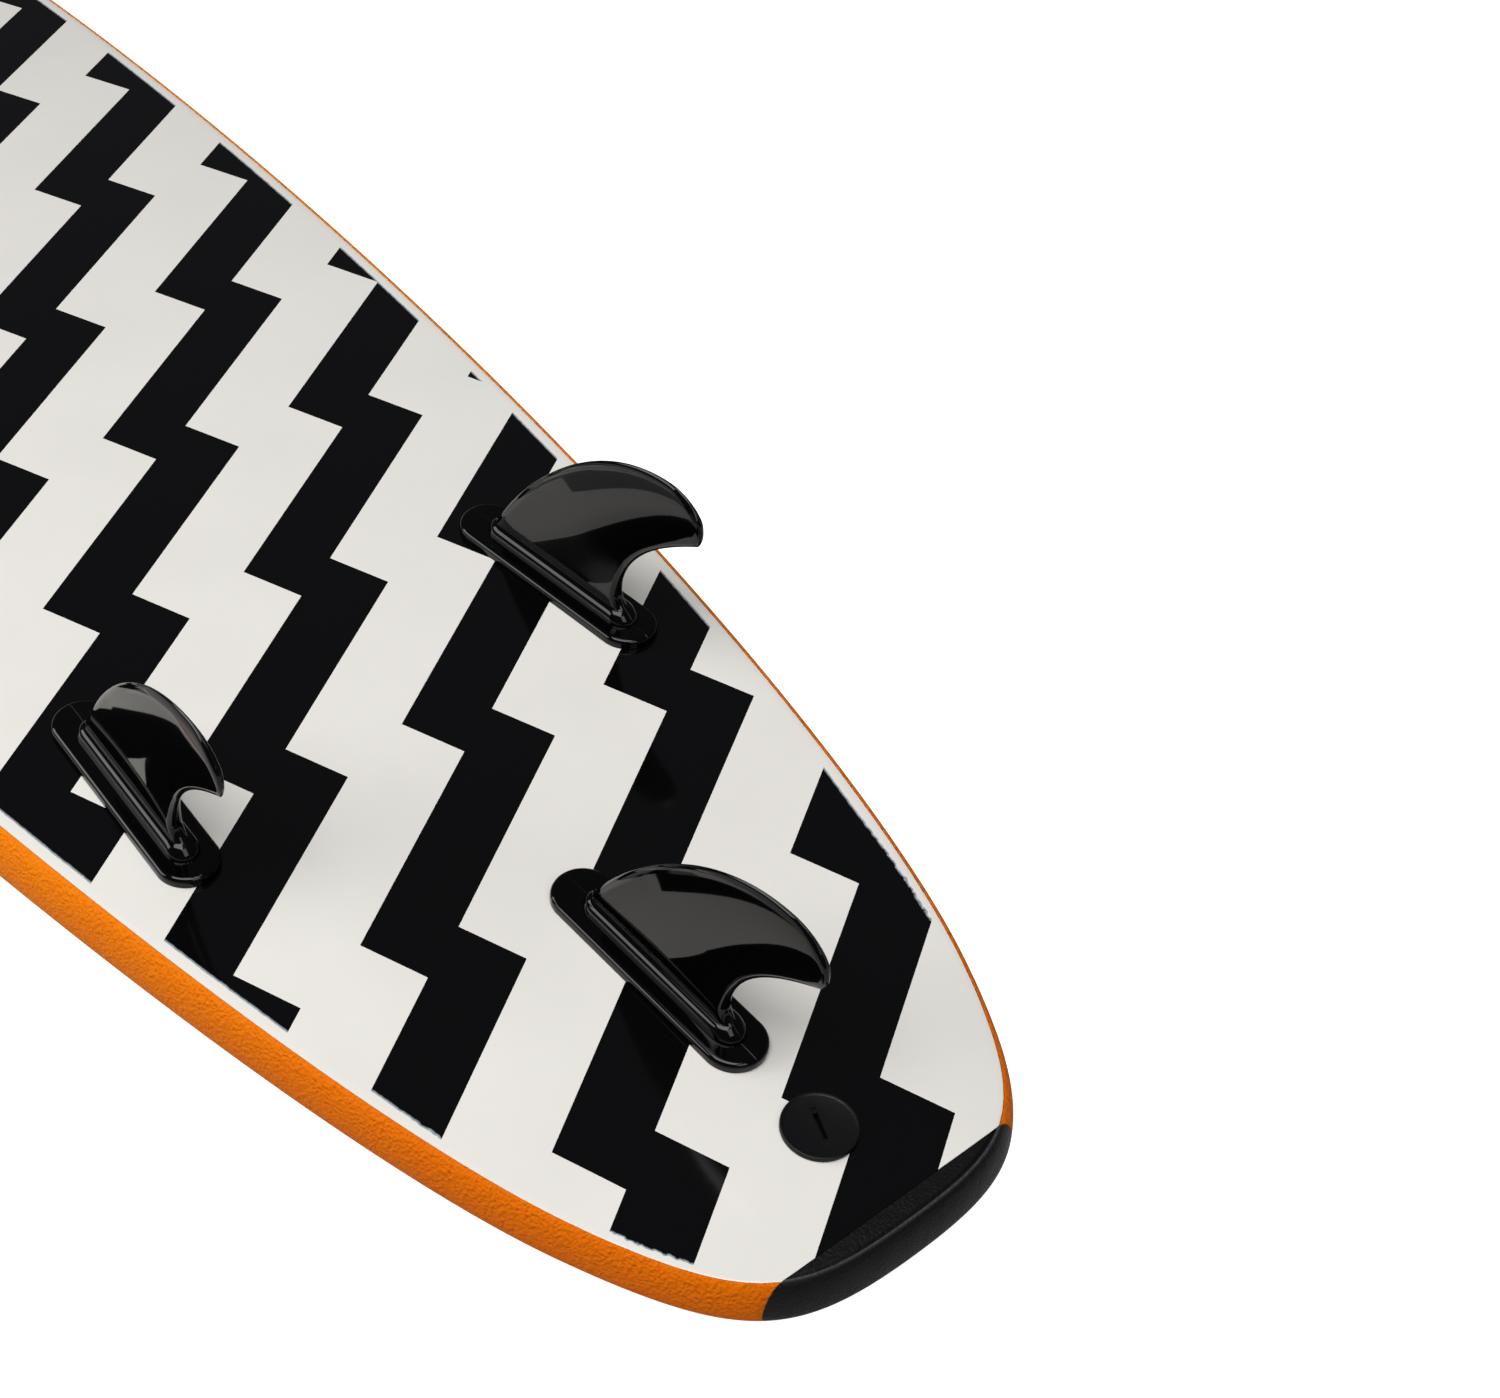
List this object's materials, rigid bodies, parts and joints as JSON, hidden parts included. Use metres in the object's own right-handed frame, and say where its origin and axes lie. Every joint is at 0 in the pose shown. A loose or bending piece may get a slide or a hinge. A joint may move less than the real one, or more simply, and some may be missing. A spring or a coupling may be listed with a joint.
{
  "type": "surfboard",
  "caption": "Soft-top surfboard: foam core with stringers, foam skins, slick printed bottom, end bumpers, screwed-through removable fins and a leash plug with a slotted cap.",
  "frame": {"origin": "centre of the bounding box in plan, at the level the two ends of the deck rest on", "axes": "+X from the nose to the tail, +Z out of the bottom (the board lies deck down, fins up), +Y across"},
  "size_m": [2.438, 0.572, 0.1954],
  "materials": {
    "slick_sheet": "semi-gloss, white with a printed band pattern",
    "orange_foam_skin": "crinkled closed-cell foam skin",
    "liner_foam": "matt closed-cell foam",
    "eps_foam": "expanded polystyrene beads",
    "stringer_wood": "sawn, unfinished",
    "black_foam_rubber": "matt, fine grain",
    "gloss_black_plastic": "polished moulding",
    "matt_black_plastic": "fine moulded grain",
    "gasket_rubber": "matt",
    "brass": "machined",
    "steel": "stainless"
  },
  "bodies": {
    "board": {"core_left": "eps_foam", "core_centre": "eps_foam", "core_right": "eps_foam", "stringer_left": "stringer_wood", "stringer_right": "stringer_wood", "bottom_liner": "liner_foam", "bottom_slick": "slick_sheet", "deck_skin": "orange_foam_skin", "rail_skin_left": "orange_foam_skin", "rail_skin_right": "orange_foam_skin", "nose_bumper": "black_foam_rubber", "tail_bumper": "black_foam_rubber", "deck_plug_left_front": "matt_black_plastic", "deck_plug_left_rear": "matt_black_plastic", "deck_plug_centre_front": "matt_black_plastic", "deck_plug_centre_rear": "matt_black_plastic", "deck_plug_right_front": "matt_black_plastic", "deck_plug_right_rear": "matt_black_plastic", "leash_cup": "matt_black_plastic", "leash_bar": "steel"},
    "left_fin": {"fin_left": "gloss_black_plastic", "post_insert_left_front": "brass", "post_insert_left_rear": "brass"},
    "left_front_washer": {"fin_washer_left_front": "steel"},
    "left_front_screw": {"fin_screw_left_front": "steel"},
    "left_rear_washer": {"fin_washer_left_rear": "steel"},
    "left_rear_screw": {"fin_screw_left_rear": "steel"},
    "centre_fin": {"fin_centre": "gloss_black_plastic", "post_insert_centre_front": "brass", "post_insert_centre_rear": "brass"},
    "centre_front_washer": {"fin_washer_centre_front": "steel"},
    "centre_front_screw": {"fin_screw_centre_front": "steel"},
    "centre_rear_washer": {"fin_washer_centre_rear": "steel"},
    "centre_rear_screw": {"fin_screw_centre_rear": "steel"},
    "right_fin": {"fin_right": "gloss_black_plastic", "post_insert_right_front": "brass", "post_insert_right_rear": "brass"},
    "right_front_washer": {"fin_washer_right_front": "steel"},
    "right_front_screw": {"fin_screw_right_front": "steel"},
    "right_rear_washer": {"fin_washer_right_rear": "steel"},
    "right_rear_screw": {"fin_screw_right_rear": "steel"},
    "leash_gasket_ring": {"leash_gasket": "gasket_rubber"},
    "leash_plug_cap": {"leash_cap": "matt_black_plastic"}
  },
  "joints": [
    {"name": "left_fin_lift", "type": "slide", "parent": "board", "child": "left_fin", "axis": [0.0652, 0, 0.9979], "range_m": [0, 0.03]},
    {"name": "left_front_screw_draw", "type": "slide", "parent": "board", "child": "left_front_washer", "axis": [-0.0652, 0, -0.9979], "range_m": [0, 0.0125]},
    {"name": "left_front_screw_turn", "type": "hinge", "parent": "left_front_washer", "child": "left_front_screw", "pos_m": [0.70223, -0.14747, 0.07509], "axis": [-0.0652, 0, -0.9979], "range_deg": [0, 1800]},
    {"name": "left_rear_screw_draw", "type": "slide", "parent": "board", "child": "left_rear_washer", "axis": [-0.0652, 0, -0.9979], "range_m": [0, 0.0125]},
    {"name": "left_rear_screw_turn", "type": "hinge", "parent": "left_rear_washer", "child": "left_rear_screw", "pos_m": [0.79177, -0.15453, 0.06924], "axis": [-0.0652, 0, -0.9979], "range_deg": [0, 1800]},
    {"name": "centre_fin_lift", "type": "slide", "parent": "board", "child": "centre_fin", "axis": [0.086, 0, 0.9963], "range_m": [0, 0.03]},
    {"name": "centre_front_screw_draw", "type": "slide", "parent": "board", "child": "centre_front_washer", "axis": [-0.086, 0, -0.9963], "range_m": [0, 0.0125]},
    {"name": "centre_front_screw_turn", "type": "hinge", "parent": "centre_front_washer", "child": "centre_front_screw", "pos_m": [0.97467, 0, 0.05544], "axis": [-0.086, 0, -0.9963], "range_deg": [0, 1800]},
    {"name": "centre_rear_screw_draw", "type": "slide", "parent": "board", "child": "centre_rear_washer", "axis": [-0.086, 0, -0.9963], "range_m": [0, 0.0125]},
    {"name": "centre_rear_screw_turn", "type": "hinge", "parent": "centre_rear_washer", "child": "centre_rear_screw", "pos_m": [1.06433, 0, 0.0477], "axis": [-0.086, 0, -0.9963], "range_deg": [0, 1800]},
    {"name": "right_fin_lift", "type": "slide", "parent": "board", "child": "right_fin", "axis": [0.0652, 0, 0.9979], "range_m": [0, 0.03]},
    {"name": "right_front_screw_draw", "type": "slide", "parent": "board", "child": "right_front_washer", "axis": [-0.0652, 0, -0.9979], "range_m": [0, 0.0125]},
    {"name": "right_front_screw_turn", "type": "hinge", "parent": "right_front_washer", "child": "right_front_screw", "pos_m": [0.70223, 0.14747, 0.07509], "axis": [-0.0652, 0, -0.9979], "range_deg": [0, 1800]},
    {"name": "right_rear_screw_draw", "type": "slide", "parent": "board", "child": "right_rear_washer", "axis": [-0.0652, 0, -0.9979], "range_m": [0, 0.0125]},
    {"name": "right_rear_screw_turn", "type": "hinge", "parent": "right_rear_washer", "child": "right_rear_screw", "pos_m": [0.79177, 0.15453, 0.06924], "axis": [-0.0652, 0, -0.9979], "range_deg": [0, 1800]},
    {"name": "leash_cap_draw", "type": "slide", "parent": "board", "child": "leash_gasket_ring", "axis": [0.0967, 0, 0.9953], "range_m": [0, 0.01]},
    {"name": "leash_cap_turn", "type": "hinge", "parent": "leash_gasket_ring", "child": "leash_plug_cap", "pos_m": [1.146, 0, 0.03997], "axis": [0.0967, 0, 0.9953], "range_deg": [0, 1440]}
  ],
  "couplings": [
    {"joint": "left_front_screw_turn", "follows": "left_front_screw_draw", "rad_per_m": 2513.3},
    {"joint": "left_rear_screw_turn", "follows": "left_rear_screw_draw", "rad_per_m": 2513.3},
    {"joint": "centre_front_screw_turn", "follows": "centre_front_screw_draw", "rad_per_m": 2513.3},
    {"joint": "centre_rear_screw_turn", "follows": "centre_rear_screw_draw", "rad_per_m": 2513.3},
    {"joint": "right_front_screw_turn", "follows": "right_front_screw_draw", "rad_per_m": 2513.3},
    {"joint": "right_rear_screw_turn", "follows": "right_rear_screw_draw", "rad_per_m": 2513.3},
    {"joint": "leash_cap_turn", "follows": "leash_cap_draw", "rad_per_m": 2513.3}
  ]
}
